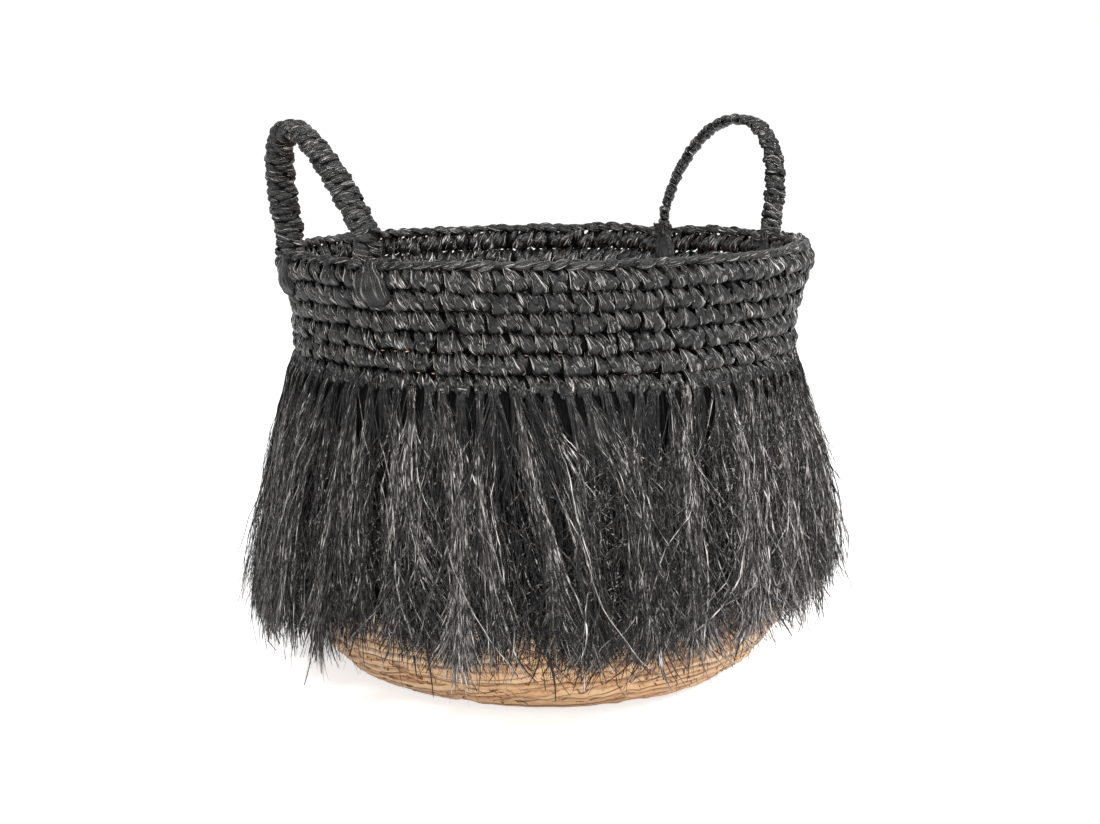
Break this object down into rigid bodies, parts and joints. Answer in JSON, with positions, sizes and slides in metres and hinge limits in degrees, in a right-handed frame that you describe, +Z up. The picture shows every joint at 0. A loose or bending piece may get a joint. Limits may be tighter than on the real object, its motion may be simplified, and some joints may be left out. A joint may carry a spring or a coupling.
{
  "type": "fringed basket",
  "caption": "Round coiled basket with a flared crochet neck, a deep knotted fringe round its belly and two hinged whipped rope handles.",
  "frame": {"origin": "centre of the floor's underside, on the surface the basket stands on", "axes": "+Z up out of the mouth; the two handles stand towards +X and -X; +Y to the rear"},
  "size_m": [0.4341, 0.4343, 0.3971],
  "materials": {
    "natural_bark": "dry twisted bark and leaf fibre, satin",
    "black_raffia": "dyed raffia, streaky satin sheen",
    "core_rope": "rough fibre rope"
  },
  "bodies": {
    "basket": {"floor_coil": "natural_bark", "wall_coil": "natural_bark", "crochet_neck": "black_raffia", "rim_braid": "black_raffia", "fringe_bunch_01": "black_raffia", "fringe_bunch_02": "black_raffia", "fringe_bunch_03": "black_raffia", "fringe_bunch_04": "black_raffia", "fringe_bunch_05": "black_raffia", "fringe_bunch_06": "black_raffia", "fringe_bunch_07": "black_raffia", "fringe_bunch_08": "black_raffia", "fringe_bunch_09": "black_raffia", "fringe_bunch_10": "black_raffia", "fringe_bunch_11": "black_raffia", "fringe_bunch_12": "black_raffia", "fringe_bunch_13": "black_raffia", "fringe_bunch_14": "black_raffia", "fringe_bunch_15": "black_raffia", "fringe_bunch_16": "black_raffia", "fringe_bunch_17": "black_raffia", "fringe_bunch_18": "black_raffia", "fringe_bunch_19": "black_raffia", "fringe_bunch_20": "black_raffia", "fringe_bunch_21": "black_raffia", "fringe_bunch_22": "black_raffia", "fringe_bunch_23": "black_raffia", "fringe_bunch_24": "black_raffia", "fringe_bunch_25": "black_raffia", "lashing_right_front": "black_raffia", "lashing_right_rear": "black_raffia", "lashing_left_front": "black_raffia", "lashing_left_rear": "black_raffia"},
    "handle_right": {"handle_right_core": "core_rope", "handle_right_whipping": "black_raffia"},
    "handle_left": {"handle_left_core": "core_rope", "handle_left_whipping": "black_raffia"}
  },
  "joints": [
    {"name": "handle_right_hinge", "type": "hinge", "parent": "basket", "child": "handle_right", "pos_m": [0.17541, 0.00827, 0.3193], "axis": [-0.0471, 0.9989, 0], "range_deg": [-70, 40]},
    {"name": "handle_left_hinge", "type": "hinge", "parent": "basket", "child": "handle_left", "pos_m": [-0.17704, 0.00835, 0.3193], "axis": [-0.0471, -0.9989, 0], "range_deg": [-70, 40]}
  ]
}
